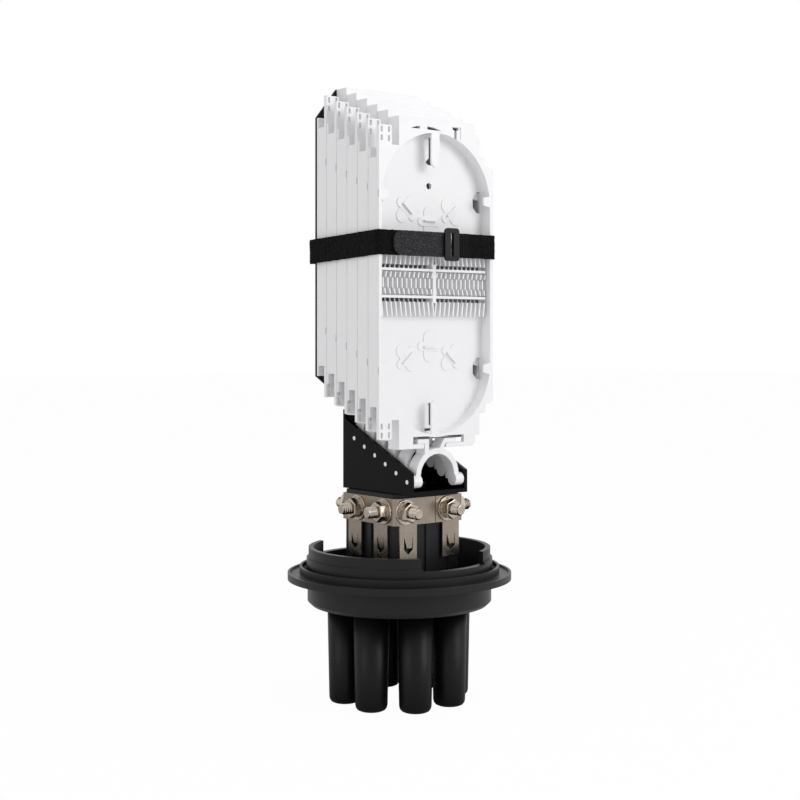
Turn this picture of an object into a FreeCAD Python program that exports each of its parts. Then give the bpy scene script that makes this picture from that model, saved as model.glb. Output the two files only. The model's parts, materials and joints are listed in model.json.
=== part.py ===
import FreeCAD, Part
import math
import os

V = FreeCAD.Vector

# The inside of a dome splice closure, standing on its port ends with the dome taken off.
# Millimetres. The origin is the closure's axis at the plane of the port ends, +Z is up,
# the front of the trays faces -Y, and +X is on the right seen from the front.

# Clearances
SEAT_GAP = 0.3
PIN_CLEARANCE = 0.05
HOLE_CLEARANCE = 0.3
SCREW_CLEARANCE = 0.1
TAB_CLEARANCE = 0.1

# How far a cutting tool runs past the face that it cuts
PAST = 1.0

# Base: the ring of closed cable ports
PORT_COUNT = 8
PORT_CIRCLE_R = 45.0
PORT_FIRST_DEG = 22.5
PORT_LENGTH = 77.0
PORT_R = 13.6
PORT_WALL = 2.5
PORT_END_BEVEL = 1.8

# Base: body, flange, lip and collar
BODY_R = 74.0
BODY_WALL = 4.8
BODY_BEVEL = 3.0
BODY_HEIGHT = 20.0
BODY_FLOOR = 6.0
FLANGE_R = 90.0
FLANGE_T = 4.0
RIM_WIDTH = 2.0
RIM_HEIGHT = 1.5
LIP_WALL = 2.0
LIP_HEIGHT = 6.6
GROOVE_WIDTH = 3.6
SEAL_WIDTH = 3.0
SEAL_HEIGHT = 3.6
COLLAR_LOWER_HEIGHT = 13.3
COLLAR_STEP = 1.6
COLLAR_HEIGHT = 21.5
COLLAR_WALL = 4.0
NOTCH_HALF_WIDTH = 31.0
NOTCH_DEPTH = 10.0

# Support core: a hollow moulded pillar on a narrower foot
CORE_Y = -3.5
CORE_HALF = 33.2
CORE_FOOT_HALF = 24.0
CORE_WALL = 4.0
CORE_CHAMFER = 3.0
CORE_FOOT_HEIGHT = 23.0
CORE_HEIGHT = 85.3
CORE_TOP_OPENING_HALF = 16.0
CORE_GROOVE_WIDTH = 18.0
CORE_GROOVE_DEPTH = 1.2
CORE_GROOVE_OFFSET = 11.5
CORE_SCREW_OFFSET = 14.0

# Clamp band: sheet metal, a square loop with two legs on each side
BAND_T = 1.5
BAND_BEND_R = 2.5
BAND_HEIGHT = 21.0
BAND_TOP_BELOW_CORE_TOP = 2.8
BAND_SEAM_X = 5.5
BAND_SEAM_GAP = 0.5
LEG_WIDTH = 17.0
LEG_LENGTH = 27.5
LEG_OFFSET_FRONT = 21.6
LEG_OFFSET_SIDE = 16.7
LEG_SLOT_WIDTH = 8.6
LEG_SLOT_HEIGHT = 13.0
LEG_SLOT_POINT = 4.0
LEG_SLOT_ABOVE_END = 4.5
TONGUE_LENGTH = 8.0
TONGUE_LEAN = 2.5

# Clamp bolts with nuts and washers, threaded ends outwards
BOLT_R = 4.0
BOLT_REACH = 22.0
BOLT_HEAD_ACROSS = 11.0
BOLT_HEAD_T = 4.5
NUT_ACROSS = 13.0
NUT_T = 6.5
WASHER_R = 10.0
WASHER_T = 2.0
BOLT_X = (-24.5, 18.0)
BOLT_Y = (-24.5, 9.0)

# Tray holder: a channel with sloped side walls that the trays hinge in
HOLDER_HALF_WIDTH = 28.6
HOLDER_WALL = 3.0
HOLDER_FLOOR = 3.0
HOLDER_BACK_WALL = 2.3
HOLDER_FRONT_HEIGHT = 17.7
HOLDER_BACK_HEIGHT = 57.3
HOLDER_BACK_WALL_HEIGHT = 63.7
HOLDER_FRONT_REACH = 5.1
HOLDER_OPENING_HALF = 14.0
HOLDER_SCREW_X = 21.0

# Trays: six, each one pitch further back and one step higher than the one in front
TRAY_COUNT = 6
TRAY_PITCH = 13.62
TRAY_STEP = 6.06
TRAY_FRONT_Y = -48.0
TRAY_DEPTH = 12.8
TRAY_HALF_WIDTH = 58.0
TRAY_HALF_HEIGHT = 128.0
TRAY_SIDE_RIM = 3.0
TRAY_END_RIM = 10.5
TRAY_CORNER_WIDTH = 19.5
TRAY_BLOCK_DROP = 8.3
TRAY_BLOCK_WIDTH = 12.5
TRAY_NOTCH_DEPTH = 23.0
TRAY_SIDE_DROP = 33.0
TRAY_STRIP_WIDTH = 5.0
TRAY_SHOULDER_WIDTH = 8.0
TRAY_SHOULDER_DROP = 26.3
TRAY_CHAMFER = 2.5
TRAY_WALL = 2.0
TRAY_FLOOR = 2.0
TRAY_DECK = 3.0

# Trays: openings, tabs, ridges and the splice comb
BLOCK_SLOT_WIDTH = 1.8
BLOCK_SLOT_HEIGHT = 4.2
BLOCK_SLOT_PITCH_X = 7.1
BLOCK_SLOT_PITCH_Z = 6.8
TAB_WIDTH = 8.5
TAB_LENGTH = 27.0
TAB_T = 1.6
TAB_X = -2.0
TAB_END_CUT = 3.0
TAB_WINDOW_X = 1.0
TAB_WINDOW_WIDTH = 11.0
TAB_WINDOW_LENGTH = 22.0
CLIP_WIDTH = 10.0
CLIP_LENGTH = 7.0
CLIP_END_CUT = 2.0
CLIP_ABOVE_ARC_CENTRE = 4.5
CLIP_WINDOW_WIDTH = 9.0
CLIP_WINDOW_HALF_HEIGHT = 8.5
CLIP_MARK = (1.0, 1.2, 5.0)
CRESCENT_OUT = 7.7
CRESCENT_HALF_DEG = 14.5
CRESCENT_TURN_DEG = -9.5
KEYHOLE_X = 19.0
KEYHOLE_BELOW_TOP = 6.5
KEYHOLE_BAR = (6.0, 2.0)
KEYHOLE_STEM = (2.4, 7.0)
KEYHOLE_RECESS = (10.0, 0.6, 9.5)
FLOOR_HOLE_R = 2.5
FLOOR_HOLE_ABOVE_ARC_CENTRE = 14.5
RIDGE_ARC_R = 34.0
RIDGE_ARC_ABOVE_ARC_CENTRE = 20.5
RIDGE_LENGTH = 12.0
RIDGE_T = 1.4
RIDGE_HEIGHT = 6.5
RIDGE_SPREAD_DEG = 42.0
COMB_PITCH = 4.6
COMB_FIN_T = 1.3
COMB_FIN_HEIGHT = 7.0
COMB_FIN_END = 25.5
COMB_FIN_LEAN = 1.7
COMB_BAR = (9.5, 11.5)
COMB_SLOT_END = 14.5
COMB_DIVIDER_HALF = (1.5, 15.0)

# Tray: the mouth under the pocket and the slots that the hinge yoke locks into
MOUTH_LEFT = -13.5
MOUTH_RIGHT = 9.0
LOCK_SLOT_LEFT = -24.5
LOCK_SLOT_RIGHT = 27.0
LOCK_LIP = 3.5
LOCK_SLOT_HEIGHT = 5.7
POCKET_BAND = 2.3

# Hinge yoke: a horseshoe under each tray, with a hinge pin at each foot
PIN_R = 1.7
PIN_ABOVE_FLOOR = 7.6
PIN_BEHIND_TRAY_FRONT = 2.7
PIN_TO_TRAY_BOTTOM = 25.6
YOKE_ARCH_R = 21.6
YOKE_ARCH_T = 4.6
YOKE_DEPTH = 10.7
YOKE_FOOT_R = 5.0
YOKE_TONGUE_T = 3.4
YOKE_LEFT_TONGUE = -20.0
YOKE_LEFT_STRUT = (-12.9, -8.7)
YOKE_RIGHT_TONGUE = 19.3
YOKE_RIGHT_STRUT = (6.9, 8.4)
YOKE_STRUT_LEAN = 5.0
YOKE_STRUT_T = 4.0

# Back plate behind the last tray
PLATE_T = 2.2
PLATE_CHAMFER_Z = 24.5
PLATE_BOTTOM_ABOVE_TRAY = 24.7
PLATE_NECK_CLEARANCE = 0.3
PLATE_SCREW_X = 14.0
PLATE_SCREW_HEIGHT = 50.0

# Hook-and-loop strap round the trays
STRAP_Z = 363.0
STRAP_WIDTH = 19.5
STRAP_T = 2.2
STRAP_CORNER_R = 4.0
STRAP_TAIL_T = 2.0
STRAP_TAIL_START = -43.0
STRAP_TAIL_END = 10.5
STRAP_FOLD_START = 14.0
STRAP_FOLD_END = 33.0
BUCKLE_START = 6.0
BUCKLE_WIDTH = 14.5
BUCKLE_HEIGHT = 25.7
BUCKLE_T = 2.2
BUCKLE_SLOT_WIDTH = 2.0
BUCKLE_SLOT_HEIGHT = 19.0
BUCKLE_CUT = 2.5

# Small screws that hold the inner pieces together
SCREW_R = 1.5
SCREW_HEAD_ACROSS = 5.5
SCREW_HEAD_T = 2.0
SCREW_BITE = 5.0

# Levels and planes that follow from the sizes above
BODY_Z = PORT_LENGTH
FLOOR_Z = BODY_Z + BODY_FLOOR
FLANGE_TOP = BODY_Z + BODY_HEIGHT + FLANGE_T
FLOOR_R = BODY_R - BODY_WALL
COLLAR_R = FLOOR_R + COLLAR_WALL + COLLAR_STEP
LIP_R = COLLAR_R + GROOVE_WIDTH + LIP_WALL
CORE_TOP = FLOOR_Z + CORE_HEIGHT
BAND_TOP = CORE_TOP - BAND_TOP_BELOW_CORE_TOP
BAND_BOTTOM = BAND_TOP - BAND_HEIGHT
BAND_HALF = CORE_HALF + SEAT_GAP + BAND_T
BOLT_Z = (BAND_TOP + BAND_BOTTOM) / 2
HOLDER_Z = CORE_TOP
HOLDER_FLOOR_TOP = HOLDER_Z + HOLDER_FLOOR
PIN_Y = TRAY_FRONT_Y + PIN_BEHIND_TRAY_FRONT
PIN_Z = HOLDER_FLOOR_TOP + PIN_ABOVE_FLOOR
PIN_HOLE_R = PIN_R + PIN_CLEARANCE
TRAY_BOTTOM = PIN_Z + PIN_TO_TRAY_BOTTOM
TRAY_Z = TRAY_BOTTOM + TRAY_HALF_HEIGHT
TRAY_BACK_Y = TRAY_FRONT_Y + TRAY_DEPTH
POCKET_FLOOR_Y = TRAY_BACK_Y - TRAY_FLOOR
TRAY_MIDDLE_HALF = TRAY_HALF_WIDTH - TRAY_CORNER_WIDTH
POCKET_R = TRAY_HALF_WIDTH - TRAY_SIDE_RIM
POCKET_CENTRE_Z = TRAY_HALF_HEIGHT - TRAY_END_RIM - POCKET_R
LOCK_Z = TRAY_BOTTOM + LOCK_LIP
LAST = TRAY_COUNT - 1
PLATE_Y = TRAY_BACK_Y + LAST * TRAY_PITCH + SEAT_GAP
PLATE_BACK_Y = PLATE_Y + PLATE_T
HOLDER_FRONT_Y = PIN_Y - HOLDER_FRONT_REACH
HOLDER_BACK_Y = PLATE_BACK_Y + HOLDER_BACK_WALL
HOLDER_INSIDE = HOLDER_HALF_WIDTH - HOLDER_WALL
LAST_TRAY_Z = TRAY_Z + LAST * TRAY_STEP
STRAP_FRONT_Y = TRAY_FRONT_Y - SEAT_GAP - STRAP_T
STRAP_BACK_Y = PLATE_BACK_Y + SEAT_GAP + STRAP_T
STRAP_HALF_WIDTH = TRAY_HALF_WIDTH + SEAT_GAP + STRAP_T


def block(x0, x1, y0, y1, z0, z1):
    """A box between two corners."""
    return Part.makeBox(x1 - x0, y1 - y0, z1 - z0, V(x0, y0, z0))


def rod(radius, start, end):
    """A round bar from one point to another."""
    axis = end - start
    return Part.makeCylinder(radius, axis.Length, start, axis)


def hexagon(across, start, end):
    """A six-sided bar, its width across the flats."""
    axis = end - start
    corner = V(across / math.sqrt(3), 0, 0)
    turns = [FreeCAD.Rotation(V(0, 0, 1), 60 * i) for i in range(6)]
    points = [turn.multVec(corner) for turn in turns]
    bar = Part.Face(Part.makePolygon(points + points[:1])).extrude(V(0, 0, axis.Length))
    bar.Placement = FreeCAD.Placement(start, FreeCAD.Rotation(V(0, 0, 1), axis))
    return bar


def front_plate(points, y0, y1):
    """A plate whose outline is given as (x, z) points and which runs from y0 back to y1."""
    corners = [V(x, y0, z) for x, z in points]
    return Part.Face(Part.makePolygon(corners + corners[:1])).extrude(V(0, y1 - y0, 0))


def fuse(first, others):
    return first.multiFuse(others).removeSplitter()


def cut(solid, tools):
    return solid.cut(Part.makeCompound(tools)).removeSplitter()


def revolved(profile):
    """A turned solid from an (r, z) profile."""
    corners = [V(r, 0, z) for r, z in profile]
    return Part.Face(Part.makePolygon(corners + corners[:1])).revolve(V(0, 0, 0), V(0, 0, 1), 360)


def mirrored_z(shape, z):
    """The same shape upside down about a level."""
    return shape.mirror(V(0, 0, z), V(0, 0, 1))


def port_places():
    """Centres of the ports on their circle."""
    turns = [math.radians(PORT_FIRST_DEG + i * 360 / PORT_COUNT) for i in range(PORT_COUNT)]
    return [V(PORT_CIRCLE_R * math.cos(a), PORT_CIRCLE_R * math.sin(a), 0) for a in turns]


def port_tubes():
    """The ports: eight tubes, open to the base above and closed below by a bevelled end."""
    bore_r = PORT_R - PORT_WALL
    profile = [(0, 0), (PORT_R - PORT_END_BEVEL, 0), (PORT_R, PORT_END_BEVEL), (PORT_R, BODY_Z)]
    profile += [(bore_r, BODY_Z), (bore_r, PORT_WALL), (0, PORT_WALL)]
    tube = revolved(profile)
    return Part.makeCompound([tube.translated(p) for p in port_places()])


def base_ring():
    """Body ring, flange, raised rim, lip and stepped collar as one turned shell."""
    lip_inner = LIP_R - LIP_WALL
    collar_top = FLANGE_TOP + COLLAR_HEIGHT
    collar_step_z = FLANGE_TOP + COLLAR_LOWER_HEIGHT
    outside = [(FLOOR_R, BODY_Z), (BODY_R - BODY_BEVEL, BODY_Z), (BODY_R, BODY_Z + BODY_BEVEL)]
    flange = [
        (BODY_R, FLANGE_TOP - FLANGE_T),
        (FLANGE_R, FLANGE_TOP - FLANGE_T),
        (FLANGE_R, FLANGE_TOP + RIM_HEIGHT),
        (FLANGE_R - RIM_WIDTH, FLANGE_TOP + RIM_HEIGHT),
        (FLANGE_R - RIM_WIDTH, FLANGE_TOP),
    ]
    lip = [
        (LIP_R, FLANGE_TOP),
        (LIP_R, FLANGE_TOP + LIP_HEIGHT),
        (lip_inner, FLANGE_TOP + LIP_HEIGHT),
        (lip_inner, FLANGE_TOP),
    ]
    collar = [
        (COLLAR_R, FLANGE_TOP),
        (COLLAR_R, collar_step_z),
        (COLLAR_R - COLLAR_STEP, collar_step_z),
        (COLLAR_R - COLLAR_STEP, collar_top),
        (FLOOR_R, collar_top),
    ]
    return revolved(outside + flange + lip + collar)


def core_screw_places():
    return [V(x, CORE_Y, 0) for x in (-CORE_SCREW_OFFSET, CORE_SCREW_OFFSET)]


def base_housing():
    """The moulded ring of the base, with two notches in its collar."""
    top = FLANGE_TOP + COLLAR_HEIGHT
    half = NOTCH_HALF_WIDTH
    return base_ring().cut(block(-half, half, -FLANGE_R, FLANGE_R, top - NOTCH_DEPTH, top + PAST))


def base_floor():
    """The floor of the same moulding, with a hole above each port and two for the core's screws."""
    low = V(0, 0, BODY_Z)
    high = V(0, 0, FLOOR_Z)
    past = V(0, 0, PAST)
    bite = V(0, 0, SCREW_BITE)
    bores = [rod(PORT_R - PORT_WALL, p + low - past, p + high + past) for p in port_places()]
    holes = [rod(SCREW_R, p + high - bite, p + high) for p in core_screw_places()]
    return cut(rod(FLOOR_R, low, high), bores + holes)


def seal_ring():
    """The rubber ring of square section in the groove between the lip and the collar."""
    inner_r = COLLAR_R + (GROOVE_WIDTH - SEAL_WIDTH) / 2
    bottom = V(0, 0, FLANGE_TOP)
    top = V(0, 0, FLANGE_TOP + SEAL_HEIGHT)
    return rod(inner_r + SEAL_WIDTH, bottom, top).cut(rod(inner_r, bottom, top))


def square_post(half, z0, z1):
    """A square post with cut corners, centred on the core."""
    c = half - CORE_CHAMFER
    corners = [(half, -c), (half, c), (c, half), (-c, half)]
    corners += [(-x, -y) for x, y in corners]
    points = [V(x, y + CORE_Y, z0) for x, y in corners]
    return Part.Face(Part.makePolygon(points + points[:1])).extrude(V(0, 0, z1 - z0))


def core_grooves(turn):
    """The two shallow upright channels, with a rib between them, in the core's face at this turn."""
    grooves = []
    for side in (-1, 1):
        x = side * CORE_GROOVE_OFFSET
        half = CORE_GROOVE_WIDTH / 2
        y = -CORE_HALF + CORE_GROOVE_DEPTH
        z = FLOOR_Z + CORE_FOOT_HEIGHT
        groove = block(x - half, x + half, -CORE_HALF - PAST, y, z, BAND_BOTTOM)
        groove.rotate(V(0, 0, 0), V(0, 0, 1), turn)
        groove.translate(V(0, CORE_Y, 0))
        grooves.append(groove)
    return grooves


def bolt_places():
    """Each clamp bolt as (point on the band's outer face, outward direction)."""
    places = []
    for x in BOLT_X:
        places.append((V(x, CORE_Y - BAND_HALF, BOLT_Z), V(0, -1, 0)))
        places.append((V(x, CORE_Y + BAND_HALF, BOLT_Z), V(0, 1, 0)))
    for y in BOLT_Y:
        places.append((V(-BAND_HALF, y, BOLT_Z), V(-1, 0, 0)))
        places.append((V(BAND_HALF, y, BOLT_Z), V(1, 0, 0)))
    return places


def head_window(place, out):
    """The square window in the core that a bolt's head sits in."""
    half = BOLT_HEAD_ACROSS / math.sqrt(3) + HOLE_CLEARANCE
    depth = CORE_WALL + BOLT_HEAD_T
    window = block(-half, half, -half, half, 0, depth)
    inner_end = place - out * (BAND_T + SEAT_GAP + depth)
    window.Placement = FreeCAD.Placement(inner_end, FreeCAD.Rotation(V(0, 0, 1), out))
    return window


def holder_screw_places():
    return [V(x, CORE_Y, 0) for x in (-HOLDER_SCREW_X, HOLDER_SCREW_X)]


def support_core():
    """The hollow pillar between the base and the tray holder, with windows for the bolt heads."""
    step_z = FLOOR_Z + CORE_FOOT_HEIGHT
    outside = fuse(square_post(CORE_FOOT_HALF, FLOOR_Z, step_z), [square_post(CORE_HALF, step_z, CORE_TOP)])
    foot_hollow = square_post(CORE_FOOT_HALF - CORE_WALL, FLOOR_Z + CORE_WALL, step_z + CORE_WALL)
    top_hollow = square_post(CORE_HALF - CORE_WALL, step_z + CORE_WALL, CORE_TOP - CORE_WALL)
    half = CORE_TOP_OPENING_HALF
    low = CORE_TOP - CORE_WALL - PAST
    high = CORE_TOP + PAST
    opening = block(-half, half, CORE_Y - half, CORE_Y + half, low, high)
    windows = [head_window(place, out) for place, out in bolt_places()]
    grooves = [g for turn in (0, 90, 180, 270) for g in core_grooves(turn)]
    screw_r = SCREW_R + SCREW_CLEARANCE
    foot = [V(0, 0, FLOOR_Z - PAST), V(0, 0, FLOOR_Z + CORE_WALL + PAST)]
    foot_holes = [rod(screw_r, p + foot[0], p + foot[1]) for p in core_screw_places()]
    top_holes = [rod(SCREW_R, p + V(0, 0, low), p + V(0, 0, high)) for p in holder_screw_places()]
    return cut(outside, [foot_hollow, top_hollow, opening] + windows + grooves + foot_holes + top_holes)


def screw(under_head, along, length):
    """A hexagon-headed screw: the point under its head, the way it is driven, its length."""
    head = hexagon(SCREW_HEAD_ACROSS, under_head - along * SCREW_HEAD_T, under_head)
    return head.fuse(rod(SCREW_R, under_head, under_head + along * length))


def core_screws():
    start = V(0, 0, FLOOR_Z + CORE_WALL)
    screws = [screw(p + start, V(0, 0, -1), CORE_WALL + SCREW_BITE) for p in core_screw_places()]
    return Part.makeCompound(screws)


def rounded_square(half, corner_r, z0, z1):
    """A square bar with rounded upright edges, centred on the core."""
    bar = block(-half, half, CORE_Y - half, CORE_Y + half, z0, z1)
    upright = [e for e in bar.Edges if abs(e.tangentAt(e.FirstParameter).z) > 0.5]
    return bar.makeFillet(corner_r, upright)


def leg(offset, turn):
    """One leg of the band with its pointed slot and the tongue punched out of it."""
    y0 = -BAND_HALF
    y1 = y0 + BAND_T
    z0 = BAND_BOTTOM - LEG_LENGTH
    plate = block(offset - LEG_WIDTH / 2, offset + LEG_WIDTH / 2, y0, y1, z0, BAND_BOTTOM)
    half = LEG_SLOT_WIDTH / 2
    low = z0 + LEG_SLOT_ABOVE_END
    high = low + LEG_SLOT_HEIGHT
    slot = [(offset - half, high), (offset - half, low + LEG_SLOT_POINT), (offset, low)]
    slot += [(offset + half, low + LEG_SLOT_POINT), (offset + half, high)]
    plate = plate.cut(front_plate(slot, y0 - PAST, y1 + PAST))
    wide = half - HOLE_CLEARANCE
    section = [
        V(offset - wide, y0, high),
        V(offset - wide, y1, high),
        V(offset - wide, y1 - TONGUE_LEAN, high - TONGUE_LENGTH),
        V(offset - wide, y0 - TONGUE_LEAN, high - TONGUE_LENGTH),
    ]
    tongue = Part.Face(Part.makePolygon(section + section[:1])).extrude(V(2 * wide, 0, 0))
    piece = plate.fuse(tongue)
    piece.rotate(V(0, 0, 0), V(0, 0, 1), turn)
    piece.translate(V(0, CORE_Y, 0))
    return piece


def clamp_band():
    """The square sheet loop round the core with its eight legs and bolt holes."""
    outer = rounded_square(BAND_HALF, BAND_BEND_R + BAND_T, BAND_BOTTOM, BAND_TOP)
    inner = rounded_square(BAND_HALF - BAND_T, BAND_BEND_R, BAND_BOTTOM - PAST, BAND_TOP + PAST)
    legs = []
    for side in (-1, 1):
        legs += [leg(side * LEG_OFFSET_FRONT, turn) for turn in (0, 180)]
        legs += [leg(side * LEG_OFFSET_SIDE, turn) for turn in (90, 270)]
    band = fuse(outer.cut(inner), legs)
    hole_r = BOLT_R + HOLE_CLEARANCE
    holes = [rod(hole_r, p - out * (BAND_T + PAST), p + out * PAST) for p, out in bolt_places()]
    front = CORE_Y - BAND_HALF
    seam_end = BAND_SEAM_X + BAND_SEAM_GAP
    back = front + BAND_T + PAST
    seam = block(BAND_SEAM_X, seam_end, front - PAST, back, BAND_BOTTOM - PAST, BAND_TOP + PAST)
    return cut(band, holes + [seam])


def clamp_bolts():
    """Hexagon-headed bolts, heads inside the core's windows, threaded ends outwards."""
    bolts = []
    for place, out in bolt_places():
        seat = place - out * BAND_T
        head = hexagon(BOLT_HEAD_ACROSS, seat - out * BOLT_HEAD_T, seat)
        bolts.append(head.fuse(rod(BOLT_R, seat, place + out * BOLT_REACH)))
    return Part.makeCompound(bolts)


def clamp_washers():
    washers = []
    for place, out in bolt_places():
        disc = rod(WASHER_R, place, place + out * WASHER_T)
        hole = rod(BOLT_R + HOLE_CLEARANCE, place - out * PAST, place + out * (WASHER_T + PAST))
        washers.append(disc.cut(hole))
    return Part.makeCompound(washers)


def clamp_nuts():
    nuts = []
    for place, out in bolt_places():
        start = place + out * WASHER_T
        end = start + out * NUT_T
        thread = rod(BOLT_R + SCREW_CLEARANCE, start - out * PAST, end + out * PAST)
        nuts.append(hexagon(NUT_ACROSS, start, end).cut(thread))
    return Part.makeCompound(nuts)


def plate_screw_places():
    z = HOLDER_Z + PLATE_SCREW_HEIGHT
    return [V(x, HOLDER_BACK_Y, z) for x in (-PLATE_SCREW_X, PLATE_SCREW_X)]


def tray_holder():
    """The channel that carries the trays: floor, two sloped walls with pin holes, back wall."""
    side = [
        V(-HOLDER_HALF_WIDTH, HOLDER_FRONT_Y, HOLDER_Z),
        V(-HOLDER_HALF_WIDTH, HOLDER_BACK_Y, HOLDER_Z),
        V(-HOLDER_HALF_WIDTH, HOLDER_BACK_Y, HOLDER_Z + HOLDER_BACK_HEIGHT),
        V(-HOLDER_HALF_WIDTH, HOLDER_FRONT_Y, HOLDER_Z + HOLDER_FRONT_HEIGHT),
    ]
    channel = Part.Face(Part.makePolygon(side + side[:1])).extrude(V(2 * HOLDER_HALF_WIDTH, 0, 0))
    wall_y = HOLDER_BACK_Y - HOLDER_BACK_WALL
    top = HOLDER_Z + HOLDER_BACK_WALL_HEIGHT
    inside = block(-HOLDER_INSIDE, HOLDER_INSIDE, HOLDER_FRONT_Y - PAST, wall_y, HOLDER_FLOOR_TOP, top)
    back_wall = block(-HOLDER_HALF_WIDTH, HOLDER_HALF_WIDTH, wall_y, HOLDER_BACK_Y, HOLDER_Z, top)
    half = HOLDER_OPENING_HALF
    low = HOLDER_Z - PAST
    high = HOLDER_FLOOR_TOP + PAST
    opening = block(-half, half, CORE_Y - half, CORE_Y + half, low, high)
    wide = HOLDER_HALF_WIDTH + PAST
    pin_holes = []
    for k in range(TRAY_COUNT):
        y = PIN_Y + k * TRAY_PITCH
        z = PIN_Z + k * TRAY_STEP
        pin_holes.append(rod(PIN_HOLE_R, V(-wide, y, z), V(wide, y, z)))
    screw_r = SCREW_R + SCREW_CLEARANCE
    floor_holes = [rod(screw_r, p + V(0, 0, low), p + V(0, 0, high)) for p in holder_screw_places()]
    depth = V(0, HOLDER_BACK_WALL + PAST, 0)
    back_holes = [rod(screw_r, p + V(0, PAST, 0), p - depth) for p in plate_screw_places()]
    return cut(fuse(channel.cut(inside), [back_wall]), [opening] + pin_holes + floor_holes + back_holes)


def holder_screws():
    start = V(0, 0, HOLDER_FLOOR_TOP)
    length = HOLDER_FLOOR + CORE_WALL
    return Part.makeCompound([screw(p + start, V(0, 0, -1), length) for p in holder_screw_places()])


def back_plate():
    """The flat plate behind the last tray, with a neck that drops into the holder."""
    neck = HOLDER_INSIDE - PLATE_NECK_CLEARANCE
    low = LAST_TRAY_Z - TRAY_HALF_HEIGHT
    side_low = low + PLATE_BOTTOM_ABOVE_TRAY
    side_high = LAST_TRAY_Z + TRAY_HALF_HEIGHT - PLATE_CHAMFER_Z
    half = [
        (neck, HOLDER_FLOOR_TOP),
        (neck, low),
        (TRAY_HALF_WIDTH, side_low),
        (TRAY_HALF_WIDTH, side_high),
        (TRAY_MIDDLE_HALF, side_high + PLATE_CHAMFER_Z),
    ]
    outline = half + [(-x, z) for x, z in reversed(half)]
    plate = front_plate(outline, PLATE_Y, PLATE_BACK_Y)
    depth = V(0, HOLDER_BACK_WALL + PLATE_T + PAST, 0)
    holes = [rod(SCREW_R, p, p - depth) for p in plate_screw_places()]
    return cut(plate, holes)


def back_plate_screws():
    length = HOLDER_BACK_WALL + PLATE_T
    return Part.makeCompound([screw(p, V(0, -1, 0), length) for p in plate_screw_places()])


def tray_outline():
    """The tray's outline as (x, z) points: blocks on the left, a stepped edge on the right."""
    block_in = -TRAY_HALF_WIDTH + TRAY_BLOCK_WIDTH
    strip = TRAY_MIDDLE_HALF + TRAY_STRIP_WIDTH
    shoulder = TRAY_HALF_WIDTH - TRAY_SHOULDER_WIDTH
    side_z = TRAY_HALF_HEIGHT - TRAY_SIDE_DROP
    shoulder_z = TRAY_HALF_HEIGHT - TRAY_SHOULDER_DROP
    block_z = TRAY_HALF_HEIGHT - TRAY_BLOCK_DROP
    upper = [
        (TRAY_HALF_WIDTH, side_z - TRAY_CHAMFER),
        (TRAY_HALF_WIDTH - TRAY_CHAMFER, side_z),
        (shoulder, side_z),
        (shoulder, shoulder_z),
        (strip, shoulder_z),
        (strip, block_z),
        (TRAY_MIDDLE_HALF, block_z),
        (TRAY_MIDDLE_HALF, TRAY_HALF_HEIGHT - TRAY_CHAMFER),
        (TRAY_MIDDLE_HALF - TRAY_CHAMFER, TRAY_HALF_HEIGHT),
        (-TRAY_MIDDLE_HALF, TRAY_HALF_HEIGHT),
        (-TRAY_MIDDLE_HALF, TRAY_HALF_HEIGHT - TRAY_NOTCH_DEPTH),
        (block_in, TRAY_HALF_HEIGHT - TRAY_NOTCH_DEPTH),
        (block_in, block_z),
        (-TRAY_HALF_WIDTH, block_z),
    ]
    lower = [(x, -z) for x, z in reversed(upper)]
    return [(x, z + TRAY_Z) for x, z in upper + lower]


def stadium(radius, y0, y1):
    """A bar with round ends, the form of the tray's pocket."""
    z0 = TRAY_Z - POCKET_CENTRE_Z
    z1 = TRAY_Z + POCKET_CENTRE_Z
    ends = [rod(radius, V(0, y0, z), V(0, y1, z)) for z in (z0, z1)]
    return fuse(block(-radius, radius, y0, y1, z0, z1), ends)


def tray_hollows():
    """Hollows behind the deck above the pocket, and the thin blocks at the corners."""
    half = TRAY_MIDDLE_HALF - TRAY_WALL
    top = TRAY_Z + TRAY_HALF_HEIGHT - TRAY_WALL
    back = TRAY_BACK_Y + PAST
    deck_y = TRAY_FRONT_Y + TRAY_DECK
    behind_deck = block(-half, half, deck_y, back, TRAY_Z + POCKET_CENTRE_Z, top)
    behind_deck = behind_deck.cut(stadium(POCKET_R + TRAY_WALL, deck_y - PAST, back + PAST))
    corner_z = TRAY_Z + TRAY_HALF_HEIGHT - TRAY_SIDE_DROP
    corner_top = TRAY_Z + TRAY_HALF_HEIGHT
    left = block(-TRAY_HALF_WIDTH, -TRAY_MIDDLE_HALF, deck_y, back, corner_z, corner_top)
    right = block(TRAY_MIDDLE_HALF, TRAY_HALF_WIDTH, deck_y, back, corner_z, corner_top)
    upper = [behind_deck, left, right]
    return upper + [mirrored_z(h, TRAY_Z) for h in upper]


def block_slots():
    """Two by two slots in the upper left block, and the same in the lower one."""
    slots = []
    middle_x = -TRAY_HALF_WIDTH + TRAY_BLOCK_WIDTH / 2
    middle_z = TRAY_Z + TRAY_HALF_HEIGHT - TRAY_BLOCK_DROP - BLOCK_SLOT_PITCH_Z
    y0 = TRAY_FRONT_Y - PAST
    y1 = TRAY_FRONT_Y + TRAY_DECK + PAST
    for i in (-0.5, 0.5):
        for j in (-0.5, 0.5):
            x = middle_x + i * BLOCK_SLOT_PITCH_X
            z = middle_z + j * BLOCK_SLOT_PITCH_Z
            w = BLOCK_SLOT_WIDTH / 2
            h = BLOCK_SLOT_HEIGHT / 2
            slots.append(block(x - w, x + w, y0, y1, z - h, z + h))
    return slots + [mirrored_z(s, TRAY_Z) for s in slots]


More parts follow.
